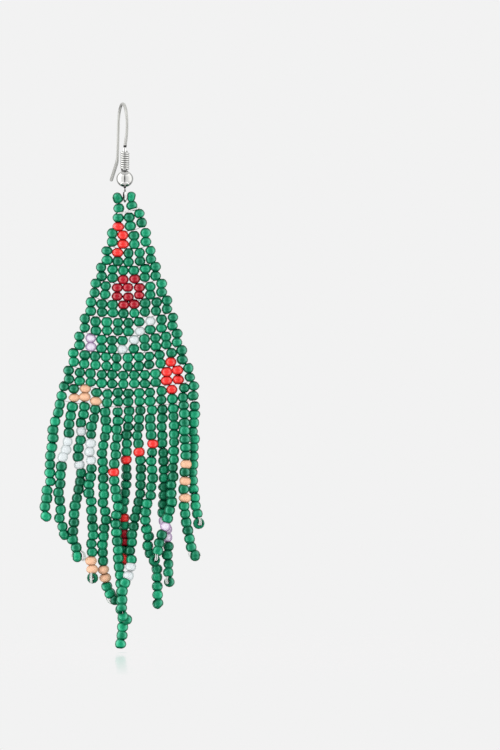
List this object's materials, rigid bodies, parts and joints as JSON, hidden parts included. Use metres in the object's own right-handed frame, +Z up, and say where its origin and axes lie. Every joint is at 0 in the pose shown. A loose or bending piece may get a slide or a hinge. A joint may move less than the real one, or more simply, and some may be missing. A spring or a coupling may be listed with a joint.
{
  "type": "beaded earring",
  "caption": "Drop earring: a bent ear wire with a coil, ball and eye carries a three-cornered band of seed beads with a fringe of beaded strings.",
  "frame": {"origin": "the point on the inside of the ear wire's arch that sits in the ear", "axes": "+Z up, along the earring's length; -Y towards the viewer, the face of the beadwork; +X to the viewer's right"},
  "size_m": [0.0308, 0.0148, 0.1038],
  "materials": {
    "polished_steel": "polished wire, bright with dark reflections",
    "clear_thread": "clear nylon thread",
    "green_glass": "opaque satin glass, sea green, a little lighter or darker from bead to bead",
    "red_glass": "opaque glossy glass, bright red",
    "crimson_glass": "transparent-looking glossy glass, deep crimson",
    "clear_glass": "colourless glass with a frosted hole",
    "lilac_glass": "pale lilac translucent glass",
    "peach_glass": "opaque peach glass, finely mottled"
  },
  "bodies": {
    "hook": {"ear_hook": "polished_steel", "hook_coil": "polished_steel", "hook_ball": "polished_steel"},
    "drop": {"hanging_thread": "clear_thread", "bead_panel": "green_glass", "strand_01": "green_glass", "strand_02": "green_glass", "strand_03": "green_glass", "strand_04": "green_glass", "strand_05": "green_glass", "strand_06": "green_glass", "strand_07": "green_glass", "strand_08": "green_glass", "strand_09": "green_glass", "strand_10": "green_glass", "strand_11": "green_glass", "strand_12": "green_glass", "strand_13": "green_glass"}
  },
  "joints": [
    {"name": "drop_swing", "type": "hinge", "parent": "hook", "child": "drop", "pos_m": [0, -0.00196, -0.01786], "axis": [1, 0, 0], "range_deg": [-75, 75]}
  ]
}
